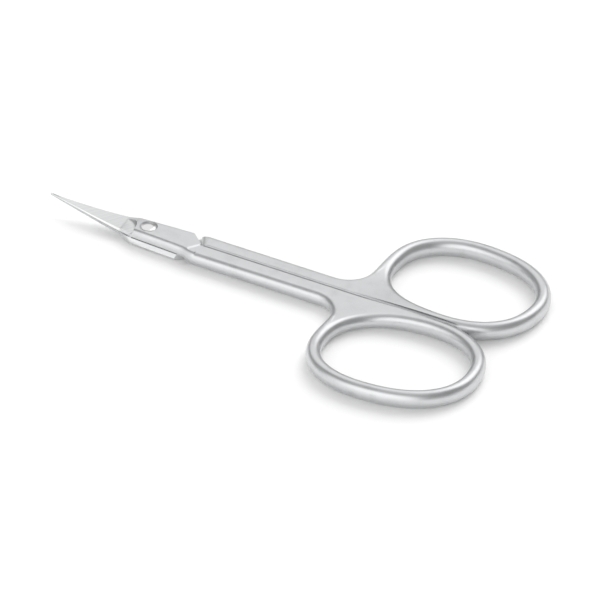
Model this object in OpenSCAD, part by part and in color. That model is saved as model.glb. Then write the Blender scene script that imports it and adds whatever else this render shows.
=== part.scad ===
// Cuticle scissors with long shanks: two forged halves that cross in a lap
// joint and turn on one countersunk pivot screw. Millimetres, closed.
// The tips point along -X, the finger rings along +X, and Z is up.

/* [Finger rings] */
// Distance from the pivot to the middle of a finger ring
ring_reach = 61.2; // [52:0.1:70]
// Distance from the closing line to the middle of a ring
ring_offset = 13.2; // [12.8:0.1:16]
// Half the length of a ring, to the middle of its bar
ring_half_length = 15.8; // [13:0.1:18]
// Half the width of a ring, to the middle of its bar
ring_half_width = 12.05; // [10:0.05:12.3]
// Angle by which the rings draw together at the rear
ring_turn = 5.4; // [0:0.2:9]
// Width of the ring's bar, seen from above
ring_bar_w = 2.9; // [2.4:0.1:3.6]
// Height of the ring's bar
ring_bar_h = 3.7; // [3.3:0.1:4.4]

/* [Shanks] */
// Width of one shank, from the closing line to its round side
shank_w = 3.7; // [3:0.05:4.4]
// Thickness of the shanks
shank_h = 3.2; // [2.6:0.1:3.6]
// Radius of the hollow corner between a shank and its ring
web_fillet = 5.0; // [3:0.2:7]
// Gap between the shanks along the closing line
seam_gap = 0.1; // [0.04:0.02:0.3]
// Bevel along the inner edges of the shanks
seam_bevel = 0.35; // [0.1:0.05:0.6]

/* [Joint] */
// Half the width of the joint at its front corners
joint_front = 2.5; // [2.2:0.05:2.8]
// Distance from the pivot to the front corners of the joint
corner_reach = 2.6; // [2.2:0.05:3.2]
// Half the width of the joint at its shoulders
joint_rear = 3.05; // [2.8:0.05:3.6]
// Height of the raised joint face over the table
joint_h = 3.36; // [3:0.02:3.9]
// Height at which the two halves slide on each other
lap_h = 1.45; // [1.3:0.05:1.7]
// Clearance between the sliding faces
lap_gap = 0.04; // [0.02:0.01:0.1]
// Distance from the pivot to the start of the slanting shoulders
shoulder_reach = 8.0; // [7:0.05:9]
// Distance from the pivot to the point where the closing line starts
seam_reach = 11.5; // [10.5:0.05:13]
// Distance from the pivot to the raised joint face's corner on its own shank
face_reach = 9.35; // [8.5:0.05:10]
// Gap between a shoulder and the shank that stops beside it
shoulder_gap = 0.12; // [0.06:0.02:0.3]
// Radius of the wheel that ground the relief beside a shoulder
relief_r = 2.2; // [1.9:0.1:3]
// How far the relief runs past the start of the closing line
relief_lead = 1.25; // [0.6:0.05:1.8]
// Angle of the relief to a line straight across the shank
relief_turn = 25.5; // [10:0.5:40]
// How wide the upper sides of the joint are rounded
joint_round = 0.9; // [0.5:0.1:1.3]
// Radius of the joint's lower edges
under_round = 0.35; // [0.2:0.05:0.6]

/* [Blades] */
// Distance from the pivot to the tips
blade_reach = 21.5; // [17:0.05:30]
// Distance from the pivot to the heels of the blades
heel_reach = 5.15; // [4.6:0.05:6.5]
// How far the tips curve up from the joint
blade_rise = 2.2; // [0:0.05:4]
// Half the width of a blade at the heel
blade_w = 2.05; // [1.9:0.05:2.4]
// Thickness of the upper blade's back at the heel
spine_t = 1.0; // [0.9:0.05:1.3]
// Thickness of the lower blade's back at the heel
under_spine_t = 0.7; // [0.6:0.05:1.0]
// Thickness of a blade at the tip
tip_t = 0.22; // [0.15:0.01:0.4]
// Half the width of a blade at the tip
tip_half_w = 0.08; // [0.06:0.01:0.3]
// Width of the sharpening bevel
bevel_w = 0.3; // [0.15:0.05:0.5]
// Thickness that is left under the sharpening bevel
edge_t = 0.03; // [0.02:0.01:0.08]
// Rounding of the blades' backs
spine_round = 0.2; // [0.1:0.05:0.3]
// Radius of the wheel mark at the heel of a blade
scoop_r = 3.3; // [3:0.1:4.5]
// Distance from the pivot to the wheel mark
scoop_reach = 2.15; // [1.9:0.05:3]
// How far the wheel mark lies off the middle, on the edge side
scoop_side = 1.6; // [0.5:0.1:1.8]
// Rounding in the corner of the wheel mark
scoop_round = 0.45; // [0.2:0.05:0.6]
// How deep the wheel mark bites into the lower blade
scoop_bite = 0.22; // [0.05:0.01:0.3]

/* [Pivot screw] */
// Diameter of the screw
screw_d = 2.4; // [2:0.1:2.6]
// Diameter of the countersunk head, on the underside
head_d = 3.8; // [3.2:0.1:4]
// Height of the straight rim of the head
head_rim = 0.15; // [0.1:0.05:0.3]
// How far the head lies below the surface around it
head_sink = 0.1; // [0.05:0.05:0.2]
// Width of the screwdriver slot
slot_w = 0.5; // [0.4:0.05:0.7]
// Depth of the screwdriver slot
slot_depth = 0.4; // [0.3:0.05:0.5]
// Diameter of the riveted end, on the top
end_d = 3.2; // [2.8:0.1:3.5]
// How far the polished end lies below the joint face
end_sink = 0.15; // [0.1:0.05:0.3]
// Depth of the dish in the polished end
end_dish = 0.15; // [0.05:0.05:0.2]
// Running clearance around the screw in the half that turns
run_gap = 0.03; // [0.02:0.01:0.05]

/* [Hidden] */
$fn = 96;

// Steel colours
steel = [0.80, 0.81, 0.82];
polished_steel = [0.92, 0.92, 0.93];

// Whole, half and quarter turns, in degrees
whole_turn = 360;
half_turn = whole_turn / 2;
quarter_turn = whole_turn / 4;

// Overrun of every cut past the surface that it opens
over = shank_h;

// Steps of the meshes: around an edge, a hollow corner, a ring and a seam
edge_steps = 8;
fillet_steps = 8;
flank_steps = 2;
ring_steps = 46;
seam_steps = 8;
blade_steps = 13;
lap_steps = 14;
// Steps of the hollow corner before the shank parts around the finger hole
neck_steps = 4;

// Share of the bar's width that each rounded side of a ring takes
round_share = 0.48;
// Thickness of a blade above its bevel, as a share of its back's thickness
bevel_share = 0.62;
// The lower blade's back is drawn in below: by this share of its thickness,
// under a straight part of this share
draw_share = 0.3;
straight_share = 0.25;
// Exponent of the ring's outline, where 2 would give an ellipse
ring_power = 2.25;
// Exponents of the blades' outline, of each blade's thinning and of their
// upward curve
outline_power = 1.15;
thinning_power = 1.2;
under_thinning_power = 0.65;
rise_power = 1.35;

// Radius around the pivot within which the sliding faces are flat
lap_flat = joint_rear - seam_gap;
// The joint face is ground a little higher than the shanks
face_step = joint_h - shank_h;
edge_round = shank_h / 2;

// A ring seen from above is a superellipse, a little squarer than an ellipse
function turned(p) = [
    p[0] * cos(ring_turn) + p[1] * sin(ring_turn),
    -p[0] * sin(ring_turn) + p[1] * cos(ring_turn)
];
function signed_pow(v, power) = sign(v) * pow(abs(v), power);
place_power = 2 / ring_power;
normal_power = 2 - place_power;
function ring_normal(t) =
    let (v = [ring_half_width * signed_pow(cos(t), normal_power),
              ring_half_length * signed_pow(sin(t), normal_power)])
        turned(v / norm(v));
function ring_middle(t) = [ring_reach, ring_offset]
    + turned([ring_half_length * signed_pow(cos(t), place_power),
              ring_half_width * signed_pow(sin(t), place_power)]);
function ease(s) = s * s * (3 - 2 * s);

// Angles of the ring's leftmost point and of its point nearest the seam
ring_aspect = ring_half_width / ring_half_length;
left_angle = half_turn + atan(pow(tan(ring_turn) * ring_aspect, 1 / normal_power));
seam_angle = -quarter_turn + atan(pow(tan(ring_turn) / ring_aspect, 1 / normal_power));
// Angle of the point of the finger hole that faces the shank, and how far
// beyond the web's ends the bar is still thinned and the hole's rim is shared
web_angle = 222;
blend_angle = 30;
rim_angle = 10;

// The outermost points of the ring's bar, and the web's start
ring_left = ring_middle(left_angle)[0] - ring_bar_w / 2;
ring_end = 2 * ring_reach - ring_left;
web_x = ring_left - web_fillet;
mid_x = (ring_end - blade_reach) / 2;

// Height of the ring's bar: it thins to the shank where it meets the web
function bar_h(t) = t > left_angle - blend_angle ? shank_h + (ring_bar_h - shank_h)
        * ease((web_angle - t) / (web_angle - left_angle + blend_angle))
    : t < seam_angle ? shank_h + (ring_bar_h - shank_h)
        * ease((t - web_angle + whole_turn) / (seam_angle - web_angle + whole_turn))
    : ring_bar_h;

// One stop on the outer path: place, inward normal, rounding, place on the hole
function fillet_stop(k) = let (a = quarter_turn * (k / fillet_steps - 1))
    [[web_x, shank_w + web_fillet] + web_fillet * [cos(a), sin(a)], [cos(a), sin(a)], edge_round,
     web_angle + (left_angle + rim_angle - web_angle) * (k - neck_steps) / (fillet_steps - neck_steps)];
neck_x = fillet_stop(neck_steps)[0][0];
function flank_stop(k) = let (s = k / (flank_steps + 1),
        top = (ring_middle(left_angle) + ring_normal(left_angle) * ring_bar_w / 2)[1])
    [[ring_left, (shank_w + web_fillet) * (1 - s) + top * s], [1, 0],
     edge_round * (1 - s) + ring_bar_w * round_share * s, left_angle + rim_angle * (1 - s)];
function ring_stop(k) = let (t = left_angle + (seam_angle - left_angle) * k / ring_steps)
    [ring_middle(t) + ring_normal(t) * ring_bar_w / 2, -ring_normal(t),
     ring_bar_w * round_share, t];
function seam_stop(k) = let (s = k / seam_steps,
        from = ring_middle(seam_angle) + ring_normal(seam_angle) * ring_bar_w / 2,
        to = [neck_x, seam_gap / 2 - edge_round])
    [from * (1 - s) + to * s, [0, 1], ring_bar_w * round_share * (1 - s) + edge_round * s,
     seam_angle + (web_angle - whole_turn - seam_angle) * s];
path = concat([for (k = [neck_steps:fillet_steps]) fillet_stop(k)],
              [for (k = [1:flank_steps]) flank_stop(k)],
              [for (k = [0:ring_steps]) ring_stop(k)],
              [for (k = [1:seam_steps]) seam_stop(k)]);
sections = len(path) - 1;

// Points around one rounded edge, from its lower to its upper rim. full is 1
// for a round edge and 0 for a pointed one.
function edge(place, inward, r, low, mid, high, full) = [
    for (k = [0:edge_steps])
        let (a = half_turn * k / edge_steps - quarter_turn,
             c = full * cos(a) + (1 - full) * (1 - abs(a) / quarter_turn),
             s = full * sin(a) + (1 - full) * a / quarter_turn,
             p = place + inward * r * (1 - c))
            [p[0], p[1], mid + s * (s > 0 ? high - mid : mid - low)]
];
function outer_edge(j) = let (h = bar_h(path[j][3]))
    edge(path[j][0], path[j][1], path[j][2], 0, h / 2, h, 1);
function hole_edge(j) = let (t = path[j][3], h = bar_h(t), n = ring_normal(t))
    edge(ring_middle(t) - n * ring_bar_w / 2, n, ring_bar_w * round_share, 0, h / 2, h, 1);
function reversed(list) = [for (k = [len(list) - 1:-1:0]) list[k]];

// Height of the sliding face at a distance from the pivot, on the blade side
function lap_at(r) = lap_h + (r > lap_flat
    ? blade_rise * pow((r - lap_flat) / (blade_reach - lap_flat), rise_power) : 0);

// The blade at share s of its length, 0 at the heel and 1 at the tip
function blade_half_w(s) = tip_half_w + (blade_w - tip_half_w) * pow(1 - s, outline_power);
function blade_t(s, over_lap) = tip_t + (over_lap
    ? (spine_t - tip_t) * pow(1 - s, thinning_power)
    : (under_spine_t - tip_t) * pow(1 - s, under_thinning_power));
function blade_x(s) = -heel_reach - (blade_reach - heel_reach) * s;

// One ring of points across a blade. The edge is on the shank's own side and
// the back on the other, because the halves cross.
function blade_ring(s, over_lap) =
    let (w = blade_half_w(s), x = blade_x(s), f = lap_at(norm([x, w])), t = blade_t(s, over_lap),
         e = t * bevel_share, bevel = min(bevel_w, w / 2), back = min(spine_round, w / 2))
    over_lap
    ? concat(edge([x, w], [0, -1], bevel, 0, f + edge_t, f + e, 0),
             reversed(edge([x, -w], [0, 1], back, 0, f + t / 2, f + t, 1)))
    : concat(edge([x, w], [0, -1], bevel, f - e, f - edge_t, joint_h + blade_rise, 0),
             reversed(edge([x, -w], [0, 1], min(t * draw_share, w / 2), f - t,
                           f - t * straight_share, joint_h + blade_rise, 1)));

// One ring of points across the joint or the shank
function bar_ring(x, side, cross, round, mid, h) =
    concat(edge([x, side], [0, -1], round, 0, mid, h, 1),
           reversed(edge([x, -cross], [0, 1], round, 0, mid, h, 1)));
function joint_half_w(x) = joint_front
    + (joint_rear - joint_front) * (x + corner_reach) / (shoulder_reach + corner_reach);
function joint_ring(x, over_lap) = over_lap
    ? bar_ring(x, joint_half_w(x), joint_half_w(x), joint_round, shank_h / 2, joint_h)
    : bar_ring(x, joint_half_w(x), joint_half_w(x), under_round, under_round, shank_h);
function flare_ring(s, over_lap) =
    let (x = shoulder_reach + (seam_reach + face_step - shoulder_reach) * s, k = ease(s),
         round = over_lap ? joint_round : under_round, mid = over_lap ? shank_h / 2 : under_round)
        bar_ring(x, joint_rear + (shank_w - joint_rear) * k, joint_rear,
                 round + (edge_round - round) * k, mid + (shank_h / 2 - mid) * k,
                 over_lap ? joint_h : shank_h);

function web_ring(k) = let (stop = fillet_stop(k), place = stop[0])
    concat(edge(place, stop[1], edge_round, 0, shank_h / 2, shank_h, 1),
           reversed(edge([place[0], seam_gap / 2 - edge_round], [0, 1], edge_round, 0, shank_h / 2,
                         shank_h, 1)));

flare_shares = [0, 0.3, 0.6, 0.85, 1];
joint_shares = [0, 0.3, 0.6, 0.85];
function arm(over_lap) =
    concat([for (k = [blade_steps:-1:0]) blade_ring(k / blade_steps, over_lap)],
           [for (s = joint_shares)
               joint_ring(-corner_reach + (shoulder_reach + corner_reach) * s, over_lap)],
           [for (s = flare_shares) flare_ring(s, over_lap)],
           [bar_ring(seam_reach + 2 * face_step, shank_w, edge_round - seam_gap / 2, edge_round,
                     shank_h / 2, shank_h)],
           [for (k = [0:neck_steps - 1]) web_ring(k)]);

// Point numbers: the arm's rings, then the outer edges, then the hole's edges
row = edge_steps + 1;
function quads(a, b) = [
    for (k = [0:len(a) - 1])
        let (m = (k + 1) % len(a))
            each [[a[k], b[m], a[m]], [a[k], b[k], b[m]]]
];

// The whole forging, before its lap, seam and holes are cut
module forging(over_lap) {
    rings = arm(over_lap);
    first = len(rings) * 2 * row;
    inner = first + (sections + 1) * row;
    points = concat([for (r = rings) each r],
                    [for (j = [0:sections]) each outer_edge(j)],
                    [for (j = [0:sections - 1]) each hole_edge(j)]);
    arm_ids = [for (i = [0:len(rings) - 1]) [for (k = [0:2 * row - 1]) i * 2 * row + k]];
    out_ids = [for (j = [0:sections]) [for (k = [0:row - 1]) first + j * row + k]];
    in_ids = [for (j = [0:sections - 1]) [for (k = [0:row - 1]) inner + j * row + k]];
    neck = concat(out_ids[0], reversed(out_ids[sections]));
    band = [for (j = [0:sections]) concat(out_ids[j], reversed(in_ids[j % sections]))];
    tip = arm_ids[0];
    faces = concat(
        [for (k = [0:edge_steps - 1]) each [[tip[k], tip[k + 1], tip[2 * row - 2 - k]],
                                            [tip[k], tip[2 * row - 2 - k], tip[2 * row - 1 - k]]]],
        [for (i = [0:len(rings) - 2]) each quads(arm_ids[i], arm_ids[i + 1])],
        quads(arm_ids[len(rings) - 1], neck),
        [for (j = [0:sections - 1]) each quads(band[j], band[j + 1])],
        [[out_ids[0][row - 1], in_ids[0][row - 1], out_ids[sections][row - 1]],
         [out_ids[0][0], out_ids[sections][0], in_ids[0][0]]]);
    polyhedron(points = points, faces = faces);
}

// The sliding face as a solid of revolution about the pivot. It is conical
// wherever the blades meet, so they keep touching while they swing.
module lap_cutter(below) {
    shift = below ? lap_gap / 2 : -lap_gap / 2;
    far = below ? -over : joint_h + blade_rise + over;
    reach = blade_reach + over;
    rim = [for (k = [0:lap_steps])
        let (r = lap_flat + (reach - lap_flat) * k / lap_steps) [r, lap_at(r) + shift]];
    rotate([0, 0, quarter_turn])
        rotate_extrude(angle = half_turn)
            polygon(concat([[0, far], [0, lap_h + shift]], rim, [[reach, far]]));
}

// Unit vector square to the slanting shoulder, and the shoulder's distance
shoulder_run = seam_reach - shoulder_reach;
shoulder_rise = joint_rear + seam_gap / 2;
shoulder_normal = [shoulder_rise, shoulder_run] / norm([shoulder_rise, shoulder_run]);
shoulder_angle = atan2(shoulder_normal[1], shoulder_normal[0]);
shoulder_at = shoulder_normal * [shoulder_reach, joint_rear];

// The crossing half's room in a shank: flat up to the shoulder, then the
// hollow that the wheel left
module crossing_cutter(below) {
    face = below ? lap_h + lap_gap / 2 : lap_h - lap_gap / 2;
    depth = below ? face : shank_h - face;
    deep = joint_h + over;
    stop = shoulder_at + shoulder_gap;
    intersection() {
        translate([0, -ring_offset, below ? face - deep : face])
            cube([ring_reach, 2 * ring_offset, deep]);
        union() {
            rotate([0, 0, shoulder_angle])
                translate([-ring_reach, -ring_reach, -deep])
                    cube([ring_reach + stop, 2 * ring_reach, 3 * deep]);
            translate([seam_reach + relief_lead, 0, below ? face - relief_r : face + relief_r])
                rotate([0, 0, relief_turn])
                    translate([-sqrt(depth * (2 * relief_r - depth)), ring_offset, 0])
                        rotate([quarter_turn, 0, 0])
                            cylinder(r = relief_r, h = 2 * ring_offset);
        }
    }
}

// The flat inner face of a shank, its slanting shoulder and its two bevels
module seam_cutter() {
    side = seam_gap / 2;
    deep = 3 * ring_bar_w;
    translate([0, 0, -over])
        linear_extrude(height = joint_h + 2 * over)
            polygon([[seam_reach, side], [ring_end, side], [ring_end, -deep],
                     [seam_reach - (side + deep) * shoulder_run / shoulder_rise, -deep]]);
    for (high = [false, true])
        translate([seam_reach, 0, high ? shank_h : 0])
            mirror([0, 0, high ? 0 : 1])
                rotate([quarter_turn, 0, quarter_turn])
                    linear_extrude(height = ring_end - seam_reach)
                        polygon([[side, -seam_bevel], [side + seam_bevel + over, over],
                                 [-deep, over], [-deep, -seam_bevel]]);
}

// The wheel mark that sets a blade off from the joint. On the upper half its
// floor carries on the blade's own top, on the lower half it bites in.
module scoop_cutter(over_lap) {
    back_t = blade_t(0, over_lap);
    tilt = atan(back_t * (1 - bevel_share) / (2 * blade_w));
    depth = back_t * (1 + bevel_share) / 2;
    floor_z = lap_at(norm([heel_reach, blade_w])) + (over_lap ? depth + edge_t : scoop_bite - depth);
    inner_r = scoop_r - scoop_round;
    length = over_lap ? heel_reach : scoop_reach + 2 * scoop_r;
    intersection() {
        translate([-length, -2 * joint_rear, -over])
            cube([length, 4 * joint_rear, joint_h + 2 * over]);
        translate([-scoop_reach - scoop_r, 0, floor_z])
            mirror([0, 0, over_lap ? 0 : 1])
                rotate([-tilt, 0, 0])
                    translate([0, scoop_side, 0])
                        rotate_extrude()
                            union() {
                                translate([0, scoop_round])
                                    square([scoop_r, over]);
                                square([inner_r, over]);
                                translate([inner_r, scoop_round])
                                    circle(r = scoop_round);
                            }
    }
}

// The raised joint face ends in a point between the shanks
module face_cutter() {
    aside = seam_reach + over;
    beside = shank_w + over;
    translate([0, 0, shank_h])
        linear_extrude(height = over)
            polygon([[seam_reach, 0], [face_reach, joint_rear],
                     [2 * face_reach - seam_reach, 2 * joint_rear], [aside, 2 * joint_rear],
                     [aside, -beside], [seam_reach, -beside]]);
}

head_cone = (head_d - screw_d) / 2;
end_cone = (end_d - screw_d) / 2;
end_z = joint_h - end_sink;

// The screw's outline from its axis, grown by a clearance on its lower part
function screw_outline(grow) = [
    [0, head_sink - (grow > 0 ? over : 0)],
    [head_d / 2 + grow, head_sink - (grow > 0 ? over : 0)],
    [head_d / 2 + grow, head_sink + head_rim + grow / 2],
    [screw_d / 2 + grow, head_sink + head_rim + head_cone + grow / 2],
    [screw_d / 2 + grow, end_z - end_cone],
    [end_d / 2 + grow, end_z],
    [end_d / 2 + grow, grow > 0 ? end_z + over : end_z],
    [0, grow > 0 ? end_z + over : end_z]
];

module upper_half() {
    color(steel)
        translate([-mid_x, 0, 0])
            mirror([0, 1, 0])
                difference() {
                    forging(true);
                    lap_cutter(true);
                    crossing_cutter(true);
                    seam_cutter();
                    scoop_cutter(true);
                    face_cutter();
                    translate([0, 0, -over])
                        cylinder(d = screw_d, h = joint_h + 2 * over);
                    translate([0, 0, end_z - end_cone])
                        cylinder(d1 = screw_d, d2 = end_d, h = end_cone);
                    translate([0, 0, end_z])
                        cylinder(d1 = end_d, d2 = end_d + 4 * end_sink, h = 2 * end_sink);
                }
}

module lower_half() {
    color(steel)
        translate([-mid_x, 0, 0])
            difference() {
                forging(false);
                lap_cutter(false);
                crossing_cutter(false);
                seam_cutter();
                scoop_cutter(false);
                rotate_extrude()
                    polygon(screw_outline(run_gap));
            }
}

module pivot_screw() {
    dish_r = (end_d * end_d / 4 + end_dish * end_dish) / (2 * end_dish);
    color(polished_steel)
        translate([-mid_x, 0, 0])
            difference() {
                rotate_extrude()
                    polygon(screw_outline(0));
                translate([0, 0, end_z - end_dish + dish_r])
                    sphere(r = dish_r);
                translate([-head_d, -slot_w / 2, head_sink - over])
                    cube([2 * head_d, slot_w, over + slot_depth]);
            }
}

upper_half();
lower_half();
pivot_screw();
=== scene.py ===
# %% [markdown]
# # Cuticle scissors
#
# The real pair is three pieces of stainless steel: two forged halves that cross in
# a lap joint, and one countersunk screw whose riveted end shows as a polished dome.
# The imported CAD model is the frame, so every piece below is built in its place, in
# metres, closed, with the tips towards -X and the finger rings towards +X.
# Each piece is made finer than its CAD node, from the same rules, and replaces it.

from math import asin, atan, copysign, cos, pi, radians, sin, sqrt, tan

import bmesh
import bpy
from mathutils import Matrix, Vector
from mathutils.bvhtree import BVHTree
from mathutils.interpolate import poly_3d_calc


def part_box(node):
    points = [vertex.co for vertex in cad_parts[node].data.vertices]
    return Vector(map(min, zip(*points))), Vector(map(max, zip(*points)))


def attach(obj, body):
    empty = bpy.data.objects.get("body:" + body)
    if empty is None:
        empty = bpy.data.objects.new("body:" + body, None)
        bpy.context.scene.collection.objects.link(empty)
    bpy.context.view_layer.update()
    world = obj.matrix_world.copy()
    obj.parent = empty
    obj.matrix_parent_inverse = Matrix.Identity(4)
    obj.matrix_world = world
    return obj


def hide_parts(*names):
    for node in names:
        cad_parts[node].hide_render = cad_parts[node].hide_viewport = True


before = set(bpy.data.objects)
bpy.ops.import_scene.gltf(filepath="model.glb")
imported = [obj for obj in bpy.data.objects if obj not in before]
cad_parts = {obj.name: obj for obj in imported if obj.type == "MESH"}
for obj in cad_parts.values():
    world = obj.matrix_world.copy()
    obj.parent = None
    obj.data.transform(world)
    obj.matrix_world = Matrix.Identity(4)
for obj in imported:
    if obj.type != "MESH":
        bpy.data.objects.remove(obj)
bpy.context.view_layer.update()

MM = 0.001
pivot_x = sum(corner.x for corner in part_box("pivot_screw")) / 2


# %% Put an object in the scene
def new_object(name, data):
    """An object around a mesh, a camera or a lamp."""
    made = bpy.data.objects.new(name, data)
    bpy.context.scene.collection.objects.link(made)
    return made


# %% [markdown]
# ## The camera
#
# The photograph was taken from far away with a long lens, because the near and the
# far finger ring are drawn at the same scale. So the camera stands three metres off
# and its lens narrows the view to the scissors. Azimuth counts from the front, and
# the camera looks down by about 35 degrees.

# %% Camera
VIEW_AZIMUTH, VIEW_ELEVATION = radians(29.38), radians(35.09)
VIEW_DISTANCE = 2.9865
VIEW_TARGET = Vector((7.55, -5.26, 1.86)) * MM
LENS_MM, SENSOR_MM = 946.8, 36.0
CLIP_NEAR, CLIP_FAR = 0.5, 30.0

towards_camera = Vector(
    (
        sin(VIEW_AZIMUTH) * cos(VIEW_ELEVATION),
        -cos(VIEW_AZIMUTH) * cos(VIEW_ELEVATION),
        sin(VIEW_ELEVATION),
    )
)
lens = bpy.data.cameras.new("camera")
lens.lens, lens.sensor_width = LENS_MM, SENSOR_MM
lens.clip_start, lens.clip_end = CLIP_NEAR, CLIP_FAR
camera = new_object("camera", lens)
camera.location = VIEW_TARGET + towards_camera * VIEW_DISTANCE
camera.rotation_euler = towards_camera.to_track_quat("Z", "Y").to_euler()
bpy.context.scene.camera = camera
print("camera", [round(v, 3) for v in camera.location])

# %% [markdown]
# ## Mesh helpers
#
# A forged blank and the tools that grind it are closed meshes. Drawing a mesh from
# lists of points keeps every size in millimetres and in one place, and Blender's
# exact boolean then cuts one closed mesh with another, as a wheel cuts steel.

# %% Closed meshes from points
# Points closer than this, in millimetres, are one point
WELD = 1e-4


def closed_mesh(name, points, faces, material=None):
    """An object from points in millimetres, with its faces turned outwards."""
    mesh = bpy.data.meshes.new(name)
    mesh.from_pydata([[v * MM for v in p] for p in points], [], faces)
    form = bmesh.new()
    form.from_mesh(mesh)
    bmesh.ops.remove_doubles(form, verts=form.verts, dist=WELD * MM)
    bmesh.ops.recalc_face_normals(form, faces=form.faces)
    form.to_mesh(mesh)
    form.free()
    if material:
        mesh.materials.append(material)
    return new_object(name, mesh)


def skin(name, rings, material=None, caps=True):
    """Rings with the same number of points, joined into one closed mesh."""
    n = len(rings[0])
    points = [p for ring in rings for p in ring]
    faces = []
    for a in range(len(rings) - 1):
        for k in range(n):
            m = (k + 1) % n
            faces.append([a * n + k, a * n + m, (a + 1) * n + m, (a + 1) * n + k])
    if caps:
        faces += [list(range(n)), [(len(rings) - 1) * n + k for k in range(n)]]
    return closed_mesh(name, points, faces, material)


def prism(name, outline, low, high, material=None):
    """A flat outline between two heights."""
    return skin(name, [[(x, y, z) for x, y in outline] for z in (low, high)], material)


def lathe(name, profile, start=0.0, turn=360.0, steps=96, material=None):
    """A profile of (radius, height) that starts and ends on the axis, turned about Z."""
    count = steps + (turn < 360)
    points, rows = [], []
    for r, z in profile:
        if r == 0:
            rows.append([len(points)] * count)
            points.append((0, 0, z))
            continue
        rows.append(list(range(len(points), len(points) + count)))
        for k in range(count):
            a = radians(start + turn * k / steps)
            points.append((r * cos(a), r * sin(a), z))
    faces = []
    for a, b in zip(rows, rows[1:]):
        for k in range(steps):
            m = (k + 1) % count
            face = [a[k], a[m], b[m], b[k]]
            face = [i for j, i in enumerate(face) if i not in face[:j]]
            if len(face) > 2:
                faces.append(face)
    if turn < 360:
        faces += [[row[0] for row in rows], [row[-1] for row in rows]]
    return closed_mesh(name, points, faces, material)


def place(piece, x=0.0, y=0.0, z=0.0, turn=0.0, tilt=0.0, flip=False):
    """Tilts a mesh about X, turns it about Z, turns it upside down if flip is set, and
    moves it by millimetres."""
    flipped = Matrix.Scale(-1, 4, (0, 0, 1)) if flip else Matrix.Identity(4)
    move = Matrix.Translation(Vector((x, y, z)) * MM)
    piece.data.transform(
        move @ flipped @ Matrix.Rotation(turn, 4, "Z") @ Matrix.Rotation(tilt, 4, "X")
    )
    if flip:
        piece.data.flip_normals()
    return piece


def carve(piece, cutter, operation="DIFFERENCE"):
    """Cuts piece with a closed mesh. The cut faces take the cutter's material."""
    cut = piece.modifiers.new(cutter.name, "BOOLEAN")
    cut.operation, cut.object, cut.solver = operation, cutter, "EXACT"
    cut.material_mode = "TRANSFER"
    cutter.hide_render = True
    return piece


def settle(piece, *tools):
    """Turns the modifiers' result into the piece's own mesh, then drops the tools."""
    shown = piece.evaluated_get(bpy.context.evaluated_depsgraph_get())
    final = bpy.data.meshes.new_from_object(shown)
    piece.modifiers.clear()
    piece.data = final
    for tool in tools:
        bpy.data.objects.remove(tool)
    return piece


# %% [markdown]
# ## The steels
#
# All three pieces are the same martensitic stainless steel, and only its finish
# differs. Glass-bead blasting leaves a fine even satin that spreads highlights. The
# blades and the wheel marks are ground and show the wheel's fine lines. The honed
# bevel, the screw's head and its riveted end are polished. Bump and roughness come
# from procedural grain whose size is worked out from the real one in millimetres.


# %% Colours and nodes
def linear(code):
    """An sRGB hex colour as the linear colour that a shader wants."""
    parts = [int(code[k : k + 2], 16) / 255 for k in (1, 3, 5)]
    curve = [p / 12.92 if p <= 0.04045 else ((p + 0.055) / 1.055) ** 2.4 for p in parts]
    return curve + [1]


def add_node(tree, kind, sockets=(), **settings):
    """A node with its settings. sockets holds a value or another node's output for
    each input, by name or number."""
    made = tree.nodes.new(kind)
    for name, value in settings.items():
        setattr(made, name, value)
    for name, value in dict(sockets).items():
        if isinstance(value, bpy.types.NodeSocket):
            tree.links.new(value, made.inputs[name])
        else:
            made.inputs[name].default_value = value
    return made


def maths(tree, operation, a, b=0.0):
    """A Math node's result."""
    return add_node(tree, "ShaderNodeMath", {0: a, 1: b}, operation=operation).outputs[0]


def new_material(name):
    """A material with its shader, and the Object coordinates that patterns use."""
    material = bpy.data.materials.new(name)
    material.use_nodes = True
    tree = material.node_tree
    tree.nodes.clear()
    shader = add_node(tree, "ShaderNodeBsdfPrincipled", {"Metallic": 1.0})
    add_node(tree, "ShaderNodeOutputMaterial", {"Surface": shader.outputs[0]})
    where = add_node(tree, "ShaderNodeTexCoord").outputs["Object"]
    return material, tree, shader, where


def grain_scale(size_mm):
    """The noise scale whose grains are about this large."""
    return 1 / (size_mm * MM)


def noise(tree, where, size_mm, detail):
    """A noise pattern whose grains are about size_mm."""
    sockets = {"Vector": where, "Scale": grain_scale(size_mm), "Detail": detail}
    return add_node(tree, "ShaderNodeTexNoise", sockets).outputs[0]


def bump(tree, shader, height, strength, depth_mm):
    """Dents the surface by a pattern, up to depth_mm deep at full strength."""
    sockets = {"Height": height, "Strength": strength, "Distance": depth_mm * MM}
    made = add_node(tree, "ShaderNodeBump", sockets)
    tree.links.new(made.outputs[0], shader.inputs["Normal"])


def vary(tree, shader, pattern, tints, roughness):
    """Colour and roughness follow a pattern. tints holds two pairs of a value and a
    colour. roughness holds two values and what they give."""
    tint = add_node(tree, "ShaderNodeValToRGB", {"Fac": pattern})
    for stop, (position, code) in zip(tint.color_ramp.elements, tints):
        stop.position, stop.color = position, linear(code)
    span = dict(zip(("From Min", "From Max", "To Min", "To Max"), roughness))
    rough = add_node(tree, "ShaderNodeMapRange", {"Value": pattern, **span})
    tree.links.new(tint.outputs[0], shader.inputs["Base Color"])
    tree.links.new(rough.outputs[0], shader.inputs["Roughness"])


# %% Bead-blasted satin steel
# Blasting gives dimples of 0.05 to 0.1 mm. They are drawn at 0.16 mm so that the
# grain still shows when the whole pair fills the picture.
BLAST_GRAIN_MM, CLOUD_MM = 0.16, 2.4


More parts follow.
